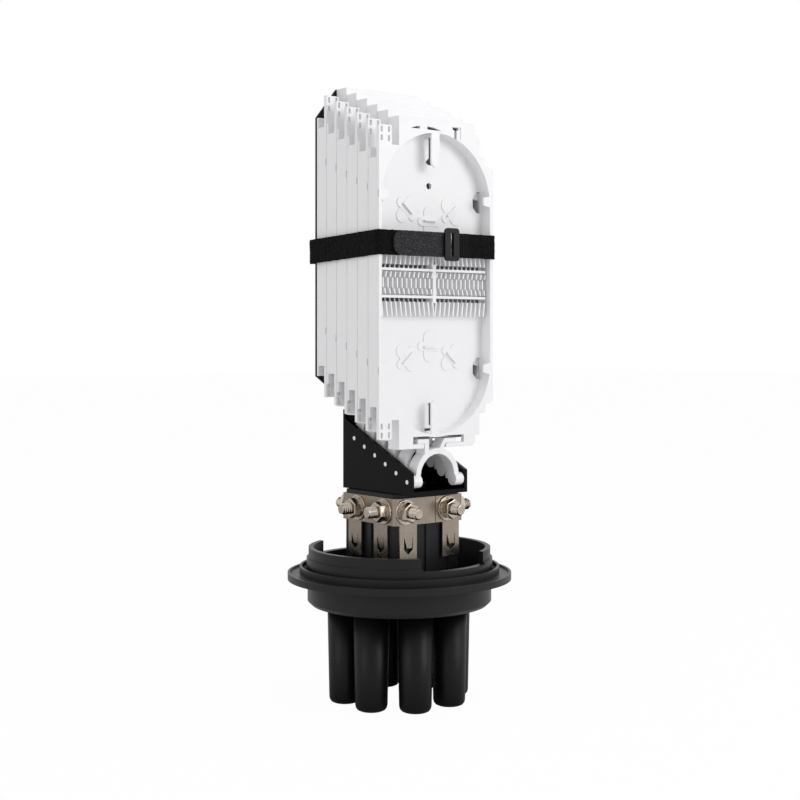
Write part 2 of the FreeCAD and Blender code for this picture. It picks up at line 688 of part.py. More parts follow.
def crescent():
    """The slit in the deck over the top of the pocket: straight below, curved above."""
    y0 = TRAY_FRONT_Y - PAST
    y1 = TRAY_FRONT_Y + TRAY_DECK + PAST
    r = POCKET_R + CRESCENT_OUT
    z = TRAY_Z + POCKET_CENTRE_Z
    chord_z = z + r * math.cos(math.radians(CRESCENT_HALF_DEG))
    slit = rod(r, V(0, y0, z), V(0, y1, z)).common(block(-r, r, y0, y1, chord_z, z + r + PAST))
    slit.rotate(V(0, 0, z), V(0, 1, 0), CRESCENT_TURN_DEG)
    return slit


def keyhole():
    """The T-shaped hole in the deck at the upper right, in a shallow square recess."""
    y0 = TRAY_FRONT_Y - PAST
    y1 = TRAY_FRONT_Y + TRAY_DECK + PAST
    z = TRAY_Z + TRAY_HALF_HEIGHT - KEYHOLE_BELOW_TOP
    bar_w, bar_h = KEYHOLE_BAR
    stem_w, stem_h = KEYHOLE_STEM
    bar = block(KEYHOLE_X - bar_w / 2, KEYHOLE_X + bar_w / 2, y0, y1, z, z + bar_h)
    stem = block(KEYHOLE_X - stem_w / 2, KEYHOLE_X + stem_w / 2, y0, y1, z - stem_h, z)
    width, depth, height = KEYHOLE_RECESS
    top = z + (bar_h - stem_h + height) / 2
    left = KEYHOLE_X - width / 2
    recess = block(left, left + width, y0, TRAY_FRONT_Y + depth, top - height, top)
    return fuse(bar, [stem, recess])


def tray_windows():
    """Openings in the floor under the long tabs, round at one end, and under the side clips."""
    y0 = POCKET_FLOOR_Y - PAST
    y1 = TRAY_BACK_Y + PAST
    arc_z = TRAY_Z + POCKET_CENTRE_Z
    top = arc_z + POCKET_R - TRAY_WALL
    half = TAB_WINDOW_WIDTH / 2
    x = TAB_WINDOW_X
    round_z = top - TAB_WINDOW_LENGTH + half
    long_window = block(x - half, x + half, y0, y1, round_z, top)
    upper = [fuse(long_window, [rod(half, V(x, y0, round_z), V(x, y1, round_z))])]
    z = arc_z + CLIP_ABOVE_ARC_CENTRE
    high = CLIP_WINDOW_HALF_HEIGHT
    low = high - CLIP_WINDOW_WIDTH / 2
    for side in (-1, 1):
        wall = side * (POCKET_R - TRAY_WALL / 2)
        inner = side * (POCKET_R - CLIP_WINDOW_WIDTH)
        bend = (wall + inner) / 2
        window = [(wall, z - high), (bend, z - high), (inner, z - low)]
        window += [(inner, z + low), (bend, z + high), (wall, z + high)]
        upper.append(front_plate(window, y0, y1))
    return upper + [mirrored_z(w, TRAY_Z) for w in upper]


def tray_tabs():
    """Long tabs over the pocket's ends and short clips at its sides, flush with the deck."""
    y0 = TRAY_FRONT_Y
    y1 = TRAY_FRONT_Y + TAB_T
    top = TRAY_Z + POCKET_CENTRE_Z + POCKET_R
    x0 = TAB_X - TAB_WIDTH / 2
    x1 = TAB_X + TAB_WIDTH / 2
    low = top - TAB_LENGTH
    long_tab = [(x0, top), (x0, low + TAB_END_CUT), (x0 + TAB_END_CUT, low)]
    long_tab += [(x1 - TAB_END_CUT, low), (x1, low + TAB_END_CUT), (x1, top)]
    upper = [front_plate(long_tab, y0, y1)]
    z = TRAY_Z + POCKET_CENTRE_Z + CLIP_ABOVE_ARC_CENTRE
    half = CLIP_WIDTH / 2
    narrow = half - CLIP_END_CUT
    for side in (-1, 1):
        root = side * (POCKET_R + TRAY_WALL)
        tip = side * (POCKET_R - CLIP_LENGTH)
        clip = [(root, z - half), (tip, z - narrow), (tip, z + narrow), (root, z + half)]
        upper.append(front_plate(clip, y0, y1))
    return upper + [mirrored_z(t, TRAY_Z) for t in upper]


def clip_marks():
    """The small slits in the side walls behind the roots of the clips."""
    deep, thick, tall = CLIP_MARK
    y = TRAY_FRONT_Y + (TAB_T - thick) / 2
    z = TRAY_Z + POCKET_CENTRE_Z + CLIP_ABOVE_ARC_CENTRE - tall / 2
    upper = []
    for side in (-1, 1):
        x = sorted(side * reach for reach in (TRAY_HALF_WIDTH - deep, TRAY_HALF_WIDTH + PAST))
        upper.append(block(x[0], x[1], y, y + thick, z, z + tall))
    return upper + [mirrored_z(m, TRAY_Z) for m in upper]


def floor_hole():
    z = TRAY_Z + POCKET_CENTRE_Z + FLOOR_HOLE_ABOVE_ARC_CENTRE
    return rod(FLOOR_HOLE_R, V(0, POCKET_FLOOR_Y - PAST, z), V(0, TRAY_BACK_Y + PAST, z))


def yoke_mouth():
    """The opening in the tray's lower edge that the yoke's struts pass, with a slot on each side."""
    y0 = TRAY_FRONT_Y - PAST
    y1 = TRAY_BACK_Y + PAST
    top = LOCK_Z + LOCK_SLOT_HEIGHT
    slot = block(LOCK_SLOT_LEFT, LOCK_SLOT_RIGHT, y0, y1, LOCK_Z, top)
    mouth = block(MOUTH_LEFT, MOUTH_RIGHT, y0, y1, TRAY_BOTTOM - PAST, top)
    return fuse(slot, [mouth]).cut(stadium(POCKET_R + POCKET_BAND, y0 - PAST, y1 + PAST))


def guide_ridges():
    """Three short upright ridges on an arc at each end, that the fibre is wound round."""
    ridges = []
    arc_z = TRAY_Z + POCKET_CENTRE_Z + RIDGE_ARC_ABOVE_ARC_CENTRE
    for i in (-1, 0, 1):
        turn = i * RIDGE_SPREAD_DEG
        y0 = POCKET_FLOOR_Y - RIDGE_HEIGHT
        half = RIDGE_LENGTH / 2
        low = arc_z - RIDGE_ARC_R
        ridge = block(-half, half, y0, POCKET_FLOOR_Y, low, low + RIDGE_T)
        ridge.rotate(V(0, 0, arc_z), V(0, 1, 0), turn)
        ridges.append(ridge)
    return ridges + [mirrored_z(r, TRAY_Z) for r in ridges]


def comb_columns():
    """Half pitches from the comb's centre to each fin on the right, as many as the pocket holds."""
    count = int((POCKET_R - COMB_FIN_T / 2) / COMB_PITCH + 0.5)
    return [(i + 0.5) * COMB_PITCH for i in range(count)]


def comb_fins(side, y0):
    """The upright fins on one side, which lean a little towards the middle of the tray."""
    low = COMB_BAR[1]
    half = COMB_FIN_T / 2
    fins = []
    for column in comb_columns():
        x = side * column
        tip = x - side * COMB_FIN_LEAN
        for up in (-1, 1):
            outline = [(x - half, TRAY_Z + up * low), (x + half, TRAY_Z + up * low)]
            outline += [(tip + half, TRAY_Z + up * COMB_FIN_END), (tip - half, TRAY_Z + up * COMB_FIN_END)]
            fins.append(front_plate(outline, y0, POCKET_FLOOR_Y))
    return fins


def comb_edge():
    """How far the bars and the slots beside them reach from the comb's centre."""
    return comb_columns()[-1] + COMB_FIN_T / 2


def comb_slots():
    """The slots through the floor between the bars and the leaning fins."""
    inner = COMB_DIVIDER_HALF[0]
    slots = []
    for low in (COMB_BAR[1], -COMB_SLOT_END):
        z = TRAY_Z + low
        for x0, x1 in ((-comb_edge(), -inner), (inner, comb_edge())):
            high = z + COMB_SLOT_END - COMB_BAR[1]
            slots.append(block(x0, x1, POCKET_FLOOR_Y - PAST, TRAY_BACK_Y + PAST, z, high))
    return slots


def comb():
    """The splice holder: two rows of leaning fins, two bars across and a divider."""
    y0 = POCKET_FLOOR_Y - COMB_FIN_HEIGHT
    bar_low, bar_high = COMB_BAR
    bars = []
    for z in (TRAY_Z + bar_low, TRAY_Z - bar_high):
        bars.append(block(-comb_edge(), comb_edge(), y0, POCKET_FLOOR_Y, z, z + bar_high - bar_low))
    wide, tall = COMB_DIVIDER_HALF
    divider = block(-wide, wide, y0, POCKET_FLOOR_Y, TRAY_Z - tall, TRAY_Z + tall)
    return bars + [divider] + comb_fins(-1, y0) + comb_fins(1, y0)


def yoke_struts():
    """The left strut and the slanting right one, each with a tongue that lies in the tray's slot."""
    base = TRAY_BOTTOM - SEAT_GAP - YOKE_ARCH_T
    low = LOCK_Z + TAB_CLEARANCE
    high = low + YOKE_TONGUE_T
    outer, inner = YOKE_LEFT_STRUT
    left = [(inner, base), (inner, high), (YOKE_LEFT_TONGUE, high), (YOKE_LEFT_TONGUE, low), (outer, low)]
    left += [(outer, base)]
    inner, outer = YOKE_RIGHT_STRUT
    right = [(outer - YOKE_STRUT_LEAN, base), (outer, low), (YOKE_RIGHT_TONGUE, low)]
    right += [(YOKE_RIGHT_TONGUE, high), (inner, high), (outer - YOKE_STRUT_LEAN - YOKE_STRUT_T, base)]
    return [front_plate(outline, TRAY_FRONT_Y, TRAY_FRONT_Y + YOKE_DEPTH) for outline in (left, right)]


def first_tray():
    """The front tray: a plate with a round-ended pocket and everything moulded into it."""
    plate = front_plate(tray_outline(), TRAY_FRONT_Y, TRAY_BACK_Y)
    pocket = stadium(POCKET_R, TRAY_FRONT_Y - PAST, POCKET_FLOOR_Y)
    openings = [pocket, crescent(), keyhole(), floor_hole(), yoke_mouth()]
    openings += tray_hollows() + block_slots() + tray_windows() + clip_marks() + comb_slots()
    return fuse(cut(plate, openings), tray_tabs() + guide_ridges() + comb())


def yoke_leg(side):
    """One leg under the arch, its rounded foot and the hinge pin that runs into the holder's wall."""
    y0 = TRAY_FRONT_Y
    arch_z = TRAY_BOTTOM - SEAT_GAP - YOKE_ARCH_R
    x = sorted(side * r for r in (YOKE_ARCH_R - YOKE_ARCH_T, YOKE_ARCH_R))
    leg_post = block(x[0], x[1], y0, y0 + YOKE_DEPTH, PIN_Z, arch_z)
    inside = V(side * (YOKE_ARCH_R - YOKE_ARCH_T), PIN_Y, PIN_Z)
    outside = V(side * (HOLDER_INSIDE - SEAT_GAP), PIN_Y, PIN_Z)
    foot = rod(YOKE_FOOT_R, inside, outside)
    pin = rod(PIN_R, outside, V(side * HOLDER_HALF_WIDTH, PIN_Y, PIN_Z))
    return fuse(leg_post, [foot, pin])


def first_yoke():
    """The front hinge yoke: an arch on two legs with hinge pins, and two struts on top."""
    y0 = TRAY_FRONT_Y
    y1 = y0 + YOKE_DEPTH
    arch_z = TRAY_BOTTOM - SEAT_GAP - YOKE_ARCH_R
    wide = YOKE_ARCH_R + PAST
    disc = rod(YOKE_ARCH_R, V(0, y0, arch_z), V(0, y1, arch_z))
    arch = fuse(disc.common(block(-wide, wide, y0, y1, arch_z, arch_z + wide)), yoke_struts())
    hollow = rod(YOKE_ARCH_R - YOKE_ARCH_T, V(0, y0 - PAST, arch_z), V(0, y1 + PAST, arch_z))
    return fuse(arch.cut(hollow), [yoke_leg(-1), yoke_leg(1)])


def strap():
    """The hook-and-loop strap: a band round the trays, its folded end and its tail."""
    z0 = STRAP_Z - STRAP_WIDTH / 2
    z1 = z0 + STRAP_WIDTH
    outer = block(-STRAP_HALF_WIDTH, STRAP_HALF_WIDTH, STRAP_FRONT_Y, STRAP_BACK_Y, z0, z1)
    upright = [e for e in outer.Edges if abs(e.tangentAt(e.FirstParameter).z) > 0.5]
    outer = outer.makeFillet(STRAP_CORNER_R, upright)
    inner_half = STRAP_HALF_WIDTH - STRAP_T
    inner_y = [STRAP_FRONT_Y + STRAP_T, STRAP_BACK_Y - STRAP_T]
    inner = block(-inner_half, inner_half, *inner_y, z0 - PAST, z1 + PAST)
    tail_y = STRAP_FRONT_Y - STRAP_TAIL_T
    round_x = STRAP_TAIL_START + STRAP_WIDTH / 2
    tail = block(round_x, STRAP_TAIL_END, tail_y, STRAP_FRONT_Y, z0, z1)
    tail_end = rod(STRAP_WIDTH / 2, V(round_x, tail_y, STRAP_Z), V(round_x, STRAP_FRONT_Y, STRAP_Z))
    fold = block(STRAP_FOLD_START, STRAP_FOLD_END, tail_y, STRAP_FRONT_Y, z0, z1)
    return fuse(outer.cut(inner), [tail, tail_end, fold])


def strap_buckle():
    """The flat plastic loop that the tail is drawn through."""
    x1 = BUCKLE_START + BUCKLE_WIDTH
    z0 = STRAP_Z - BUCKLE_HEIGHT / 2
    z1 = z0 + BUCKLE_HEIGHT
    c = BUCKLE_CUT
    back = STRAP_FRONT_Y - STRAP_TAIL_T
    outline = [(BUCKLE_START + c, z0), (x1 - c, z0), (x1, z0 + c), (x1, z1 - c), (x1 - c, z1)]
    outline += [(BUCKLE_START + c, z1), (BUCKLE_START, z1 - c), (BUCKLE_START, z0 + c)]
    plate = front_plate(outline, back - BUCKLE_T, back)
    middle = (STRAP_TAIL_END + STRAP_FOLD_START) / 2
    half = BUCKLE_SLOT_WIDTH / 2
    slot_z = STRAP_Z - BUCKLE_SLOT_HEIGHT / 2
    slot_y = [back - BUCKLE_T - PAST, back + PAST]
    slot = block(middle - half, middle + half, *slot_y, slot_z, slot_z + BUCKLE_SLOT_HEIGHT)
    return plate.cut(slot)


def save(name, shape):
    shape.exportStep(f"parts/{name}.step")


def main():
    os.makedirs("parts", exist_ok=True)
    save("base_housing", base_housing())
    save("base_floor", base_floor())
    save("port_tubes", port_tubes())
    save("seal_ring", seal_ring())
    save("support_core", support_core())
    save("core_screws", core_screws())
    save("clamp_band", clamp_band())
    save("clamp_bolts", clamp_bolts())
    save("clamp_washers", clamp_washers())
    save("clamp_nuts", clamp_nuts())
    save("tray_holder", tray_holder())
    save("holder_screws", holder_screws())
    save("back_plate", back_plate())
    save("back_plate_screws", back_plate_screws())
    save("strap", strap())
    save("strap_buckle", strap_buckle())
    tray = first_tray()
    yoke = first_yoke()
    for k in range(TRAY_COUNT):
        place = V(0, k * TRAY_PITCH, k * TRAY_STEP)
        save(f"tray_{k + 1}", tray.translated(place))
        save(f"hinge_yoke_{k + 1}", yoke.translated(place))


main()
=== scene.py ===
# %% [markdown]
# # A dome splice closure with its dome off
# This lesson dresses the CAD model of a fibre splice closure: a black ported base, a
# nickel-plated clamp band, and six white splice trays held by a hook-and-loop strap.
# The CAD solids stay where they are. The script adds materials, bolt threads, the soft
# strap, light and a camera.

# %% The frame
import json
import math
import bmesh
import bpy
from mathutils import Matrix, Vector, noise


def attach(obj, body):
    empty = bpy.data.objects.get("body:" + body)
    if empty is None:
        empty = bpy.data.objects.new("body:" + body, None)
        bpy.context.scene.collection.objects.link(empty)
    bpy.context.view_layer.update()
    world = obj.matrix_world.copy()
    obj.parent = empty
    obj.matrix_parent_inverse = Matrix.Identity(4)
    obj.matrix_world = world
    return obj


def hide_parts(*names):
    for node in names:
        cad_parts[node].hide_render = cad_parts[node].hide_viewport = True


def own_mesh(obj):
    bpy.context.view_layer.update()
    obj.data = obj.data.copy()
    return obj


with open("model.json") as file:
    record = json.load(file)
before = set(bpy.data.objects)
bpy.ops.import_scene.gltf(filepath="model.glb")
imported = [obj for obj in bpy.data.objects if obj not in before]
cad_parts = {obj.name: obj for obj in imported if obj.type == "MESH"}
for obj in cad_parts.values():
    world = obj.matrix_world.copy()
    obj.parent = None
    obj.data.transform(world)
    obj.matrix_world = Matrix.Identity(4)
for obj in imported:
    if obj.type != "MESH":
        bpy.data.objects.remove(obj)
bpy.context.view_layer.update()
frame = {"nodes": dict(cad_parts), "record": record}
MM = 0.001
TRAYS = 6
print("CAD nodes:", len(frame["nodes"]))

# %% [markdown]
# ## Small helpers
# Colours are written as sRGB hex, the way a colour picker gives them, and Blender wants
# them linear. Materials are built node by node, so one helper adds a node, sets its
# properties and joins its inputs.

# %% Colour, nodes and materials


def linear(hex_code):
    """An sRGB hex colour as linear RGBA."""
    parts = [int(hex_code[i:i + 2], 16) / 255 for i in (1, 3, 5)]
    return [v / 12.92 if v <= 0.04045 else ((v + 0.055) / 1.055) ** 2.4 for v in parts] + [1.0]


def add(tree, kind, inputs=None, **settings):
    """Adds a node with its properties, and gives its inputs a value or an output's link."""
    node = tree.nodes.new(kind)
    for name, value in settings.items():
        setattr(node, name, value)
    for name, value in (inputs or {}).items():
        if isinstance(value, bpy.types.NodeSocket):
            tree.links.new(value, node.inputs[name])
        else:
            node.inputs[name].default_value = value
    return node


def material_from(name, build, *values):
    """A material whose surface is the shader output that build(tree, *values) gives."""
    material = bpy.data.materials.new(name)
    material.use_nodes = True
    tree = material.node_tree
    tree.nodes.clear()
    add(tree, "ShaderNodeOutputMaterial", {"Surface": build(tree, *values)})
    print("material", name, "nodes:", len(tree.nodes))
    return material


def per_mm(size):
    """The noise scale at which one grain is this many millimetres across."""
    return 1 / (size * MM)


def noise_at(tree, place, size, detail, **inputs):
    """The value of a noise whose grains are this many millimetres across."""
    values = {"Vector": place, "Scale": per_mm(size), "Detail": detail, **inputs}
    return add(tree, "ShaderNodeTexNoise", values).outputs["Fac"]


def two_colours(tree, share, colour, tint):
    """A mix of two hex colours by a share from 0 to 1."""
    values = {"Factor": share, 6: linear(colour), 7: linear(tint)}
    return add(tree, "ShaderNodeMix", values, data_type="RGBA").outputs[2]


# %% [markdown]
# ## Camera
# The photograph was taken level, from the front left, with a long lens. The lens is
# shifted down instead of tilted, so that upright edges stay upright.

# %% The camera
CAMERA_PLACE = (-0.728, -0.916, 0.291)
CAMERA_TURN = -38.5
LENS = 65.25
SENSOR = 36.0
SHIFT_DOWN = 0.079
camera_data = bpy.data.cameras.new("camera")
camera_data.lens = LENS
camera_data.sensor_width = SENSOR
camera_data.shift_y = -SHIFT_DOWN
camera = bpy.data.objects.new("camera", camera_data)
camera.location = CAMERA_PLACE
camera.rotation_euler = (math.radians(90), 0, math.radians(CAMERA_TURN))
bpy.context.collection.objects.link(camera)
bpy.context.scene.camera = camera
print("camera lens (mm):", camera_data.lens)

# %% [markdown]
# ## Studio
# A pale floor and an even white room. The white that the camera and reflections see is
# kept apart from the softer light that reaches the part, so that white plastic keeps its
# shading in front of a white background.

# %% World and floor
ROOM_LIGHT = 0.55
FLOOR_HALF = 9.0
FLOOR_DROP = 0.5
FLOOR_GLOW = 0.975
scene = bpy.context.scene
scene.view_settings.view_transform = "Standard"
world = bpy.data.worlds.new("white_room")
world.use_nodes = True
scene.world = world
room = world.node_tree
room.nodes.clear()
path = add(room, "ShaderNodeLightPath")
seen = path.outputs["Is Camera Ray"]
for ray in ("Is Glossy Ray", "Is Transmission Ray"):
    either = add(room, "ShaderNodeMath", {0: seen, 1: path.outputs[ray]}, operation="MAXIMUM")
    seen = either.outputs[0]
ambient = add(room, "ShaderNodeBackground", {"Color": linear("#FFFFFF"), "Strength": ROOM_LIGHT})
white = add(room, "ShaderNodeBackground", {"Color": linear("#FFFFFF"), "Strength": 1.0})
blend = add(room, "ShaderNodeMixShader", {0: seen, 1: ambient.outputs[0], 2: white.outputs[0]})
add(room, "ShaderNodeOutputWorld", {"Surface": blend.outputs[0]})


def floor_surface(tree):
    """White card that shows a soft shadow over plain white."""
    light = add(tree, "ShaderNodeLightPath")
    card = add(tree, "ShaderNodeBsdfDiffuse", {"Color": linear("#F2F2F2")})
    glow = add(tree, "ShaderNodeEmission", {"Color": linear("#FFFFFF"), "Strength": 1.0})
    share = add(tree, "ShaderNodeMath", {0: light.outputs["Is Camera Ray"], 1: FLOOR_GLOW},
                operation="MULTIPLY")
    mix = add(tree, "ShaderNodeMixShader", {0: share.outputs[0], 1: card.outputs[0],
                                            2: glow.outputs[0]})
    return mix.outputs[0]


floor_mesh = bpy.data.meshes.new("floor")
sheet = bmesh.new()
bmesh.ops.create_grid(sheet, x_segments=1, y_segments=1, size=FLOOR_HALF)
bmesh.ops.translate(sheet, verts=sheet.verts, vec=(0, 0, -FLOOR_DROP * MM))
sheet.to_mesh(floor_mesh)
sheet.free()
floor = bpy.data.objects.new("floor", floor_mesh)
floor.data.materials.append(material_from("white_card", floor_surface))
bpy.context.collection.objects.link(floor)
print("floor faces:", len(floor_mesh.polygons))

# %% [markdown]
# The key light is a large soft panel at the front right, so that the trays' fronts are
# the brightest faces and their left edges fall a little darker. A weak panel at the left
# and one above draw the edges of the black parts.

# %% Lamps


def panel(name, place, aim, size, watts):
    """A square soft light at a place, turned to a point."""
    lamp = bpy.data.lights.new(name, "AREA")
    lamp.size = size
    lamp.energy = watts
    holder = bpy.data.objects.new(name, lamp)
    holder.location = place
    holder.rotation_euler = (Vector(aim) - Vector(place)).to_track_quat("-Z", "Y").to_euler()
    bpy.context.collection.objects.link(holder)
    return holder


panel("key_panel", place=(0.75, -1.55, 0.95), aim=(0, 0, 0.27), size=1.0, watts=12.0)
panel("fill_panel", place=(-1.7, -0.1, 0.75), aim=(0, 0, 0.25), size=0.9, watts=4.0)
panel("top_panel", place=(0.1, -0.2, 1.7), aim=(0, 0, 0.2), size=0.8, watts=5.0)

# %% [markdown]
# ## Moulded plastics
# The base, core and back plate are black polypropylene: matt, with a faint mould grain. The cable
# ports are the same polypropylene, and their darker colour is painted shade.
# The tray holder is a glossier black ABS. The trays and yokes are white ABS with a satin
# skin. Each gets slow changes of roughness from the flow of the plastic, a fine grain as
# bump, and rounded edges in the shading, because no moulded edge is sharp.

# %% Plastic materials


def moulded(tree, colour, tint, roughness, specular, grain_mm, grain_height, edge_mm):
    """A moulded plastic: two close colours, uneven gloss, fine grain and soft edges."""
    place = add(tree, "ShaderNodeTexCoord").outputs["Object"]
    flow = noise_at(tree, place, 60, 3.0)
    skin = two_colours(tree, flow, colour, tint)
    gloss = add(tree, "ShaderNodeMapRange", {
        "Value": flow, "From Min": 0.3, "From Max": 0.7, "To Min": roughness - 0.05,
        "To Max": roughness + 0.05})
    grain = noise_at(tree, place, grain_mm, 2.0)
    edge = add(tree, "ShaderNodeBevel", {"Radius": edge_mm * MM}, samples=4)
    bump = add(tree, "ShaderNodeBump", {"Height": grain, "Distance": grain_height * MM,
                                        "Strength": 0.6, "Normal": edge.outputs[0]})
    shader = add(tree, "ShaderNodeBsdfPrincipled", {
        "Base Color": skin, "Roughness": gloss.outputs[0], "Specular IOR Level": specular,
        "Normal": bump.outputs[0]})
    return shader.outputs[0]


base_black = material_from(
    "black_polypropylene", moulded, "#131315", "#18181A", 0.40, 0.26, 0.8, 0.02, 0.6)
holder_black = material_from(
    "black_abs_satin", moulded, "#050506", "#08080A", 0.2, 0.12, 0.6, 0.01, 0.4)
# The ports' polypropylene is darker than the base's only as painted shade for the shadow on the
# ports.
ports_black_painted_shade = material_from(
    "black_polypropylene_ports_painted_shade", moulded, "#08080A", "#0C0C0E", 0.42, 0.18, 0.8, 0.02, 0.4)
plate_black = material_from(
    "black_polypropylene_plate", moulded, "#0E0F10", "#121314", 0.5, 0.15, 0.7, 0.02, 0.4)
tray_white = material_from("white_abs", moulded, "#F3F3F4", "#EFEFF1", 0.36, 0.45, 0.9, 0.01, 0.35)

# %% [markdown]
# ## Rubber, plated metal and small screws
# The seal is black silicone rubber, duller than the plastic. The band is bright nickel
# on pressed steel sheet, with a warm cast and a faint rolled grain. The bolts, nuts and
# washers have the same plating on machined steel, which is smoother and brighter.

# %% Rubber and metals


def silicone(tree):
    """Black silicone rubber: dark, dull and slightly dusty."""
    place = add(tree, "ShaderNodeTexCoord").outputs["Object"]
    skin = two_colours(tree, noise_at(tree, place, 5, 5.0), "#0E0E0F", "#171718")
    shader = add(tree, "ShaderNodeBsdfPrincipled", {"Base Color": skin, "Roughness": 0.7,
                                                    "Specular IOR Level": 0.25})
    return shader.outputs[0]


def nickel(tree, colour, tint, roughness, grain_mm, grain_height):
    """Nickel plating: two close warm greys, stains in the gloss and a fine grain."""
    place = add(tree, "ShaderNodeTexCoord").outputs["Object"]
    long_grain = add(tree, "ShaderNodeMapping", {"Vector": place, "Scale": (1, 1, 8)})
    stain = noise_at(tree, place, 9, 4.0)
    skin = two_colours(tree, stain, colour, tint)
    gloss = add(tree, "ShaderNodeMapRange", {
        "Value": stain, "From Min": 0.3, "From Max": 0.7, "To Min": roughness - 0.06,
        "To Max": roughness + 0.08})
    lines = noise_at(tree, long_grain.outputs[0], grain_mm, 2.0)
    edge = add(tree, "ShaderNodeBevel", {"Radius": 0.3 * MM}, samples=4)
    bump = add(tree, "ShaderNodeBump", {"Height": lines, "Distance": grain_height * MM,
                                        "Strength": 0.5, "Normal": edge.outputs[0]})
    shader = add(tree, "ShaderNodeBsdfPrincipled", {
        "Base Color": skin, "Metallic": 1.0, "Roughness": gloss.outputs[0],
        "Normal": bump.outputs[0]})
    return shader.outputs[0]


seal_black = material_from("silicone_rubber", silicone)
band_nickel = material_from("nickel_plated_sheet", nickel, "#A2978B", "#8E8478", 0.26, 1.2, 0.02)
bolt_nickel = material_from("nickel_plated_bolt", nickel, "#CDC3B6", "#A2968A", 0.17, 0.8, 0.01)
screw_zinc = material_from("zinc_plated_screw", nickel, "#A9A9A6", "#8F8F8C", 0.3, 0.8, 0.01)

# %% [markdown]
# ## Hook-and-loop tape
# The strap is woven nylon whose face is a pile of fine loops. A pile scatters light from
# its tips, so it needs sheen and a coarse, uneven bump more than a weave. The tail shows
# the hook side, a little lighter, with specks where the hooks catch the light.

# %% Tape materials


def tape(tree, colour, tint, pile_mm, pile_height, sheen):
    """Woven nylon pile: two dark colours in small tufts, rough, with sheen at the edges."""
    place = add(tree, "ShaderNodeTexCoord").outputs["Object"]
    tuft = noise_at(tree, place, pile_mm, 4.0, Roughness=0.7)
    share = add(tree, "ShaderNodeMapRange", {"Value": tuft, "From Min": 0.52, "From Max": 0.66})
    skin = two_colours(tree, share.outputs[0], colour, tint)
    bump = add(tree, "ShaderNodeBump", {"Height": tuft, "Distance": pile_height * MM})
    shader = add(tree, "ShaderNodeBsdfPrincipled", {
        "Base Color": skin, "Roughness": 0.9, "Specular IOR Level": 0.1, "Sheen Weight": sheen,
        "Normal": bump.outputs[0]})
    return shader.outputs[0]


loop_tape = material_from("nylon_loop_tape", tape, "#060607", "#1E1E20", 1.0, 0.6, 0.02)
hook_tape = material_from("nylon_hook_tape", tape, "#262628", "#5A5A5E", 0.9, 0.3, 0.06)
thread_grey = material_from("nylon_thread", tape, "#3A3A3C", "#5A5A5E", 0.6, 0.1, 0.05)
buckle_black = material_from(
    "black_acetal", moulded, "#060607", "#09090A", 0.32, 0.2, 0.5, 0.01, 0.3)

# %% [markdown]
# ## Finishes on the CAD nodes
# The record names a material slot for each CAD node. Each solid keeps its mesh and takes
# the finish of its slot.

# %% Assigning the materials
FINISHES = {
    "base_plastic": base_black, "seal_rubber": seal_black, "screw_steel": screw_zinc,
    "band_nickel": band_nickel, "bolt_nickel": bolt_nickel, "holder_plastic": holder_black,
    "plate_plastic": plate_black, "tray_plastic": tray_white, "strap_fabric": loop_tape,
    "buckle_plastic": buckle_black,
}
for part in frame["record"]["subparts"]:
    slots = frame["nodes"][part["node"]].data.materials
    slots.clear()
    slots.append(FINISHES[part["material_slot"]])

# %% [markdown]
# ## Helpers for new pieces
# A new piece starts as a bmesh. One helper makes it an object that rides on a body, and the
# others give the shapes that come back often: a box, its edges along one axis, a box whose
# corners are rounded, a closed ring to spin, and the caps on open ends.

# %% Mesh helpers


def finished(sheet, name, body, finish, nodes=()):
    """Turns a bmesh into an object that rides on a body and may stand for CAD nodes."""
    bmesh.ops.remove_doubles(sheet, verts=sheet.verts, dist=1e-6)
    bmesh.ops.recalc_face_normals(sheet, faces=sheet.faces)
    mesh = bpy.data.meshes.new(name)
    sheet.to_mesh(mesh)
    sheet.free()
    piece = bpy.data.objects.new(name, mesh)
    piece.data.materials.append(finish)
    bpy.context.collection.objects.link(piece)
    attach(piece, body)
    if nodes:
        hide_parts(*nodes)
    print(name, "faces:", len(mesh.polygons))
    return piece


def bar(sheet, x, y, z):
    """Adds a box between two values on each axis, in mm, and returns its vertices."""
    size = [(high - low) * MM for low, high in (x, y, z)]
    middle = [(high + low) / 2 * MM for low, high in (x, y, z)]
    place = Matrix.Translation(middle) @ Matrix.Diagonal((*size, 1.0))
    return bmesh.ops.create_cube(sheet, size=1.0, matrix=place)["verts"]


def edges_along(verts, axis):
    """The edges of some vertices that run along one axis."""
    edges = {edge for vert in verts for edge in vert.link_edges}
    return [e for e in edges if abs((e.verts[0].co - e.verts[1].co).normalized()[axis]) > 0.99]


def rounded_bar(sheet, x, y, z, radius, steps):
    """Adds a box whose four edges along Y are rounded."""
    bmesh.ops.bevel(sheet, geom=edges_along(bar(sheet, x, y, z), 1), offset=radius * MM,
                    offset_type="OFFSET", segments=steps, profile=0.5, affect="EDGES", material=-1)


def ring(sheet, points):
    """Adds vertices at points in mm, joined in a closed ring, and returns it as geometry."""
    line = [sheet.verts.new([c * MM for c in point]) for point in points]
    return line + [sheet.edges.new(pair) for pair in zip(line, line[1:] + line[:1])]


def capped(sheet, edges):
    """Closes the open rims among some edges with faces."""
    bmesh.ops.holes_fill(sheet, edges=[e for e in edges if e.is_boundary])


# %% [markdown]
# ## Cable ports
# Each port narrows a little towards its closed end, so that the mould lets it go, and the
# end is well rounded. A turned shape suits it: one profile from the inside over the rim
# to the rounded end, spun once round the port's axis.

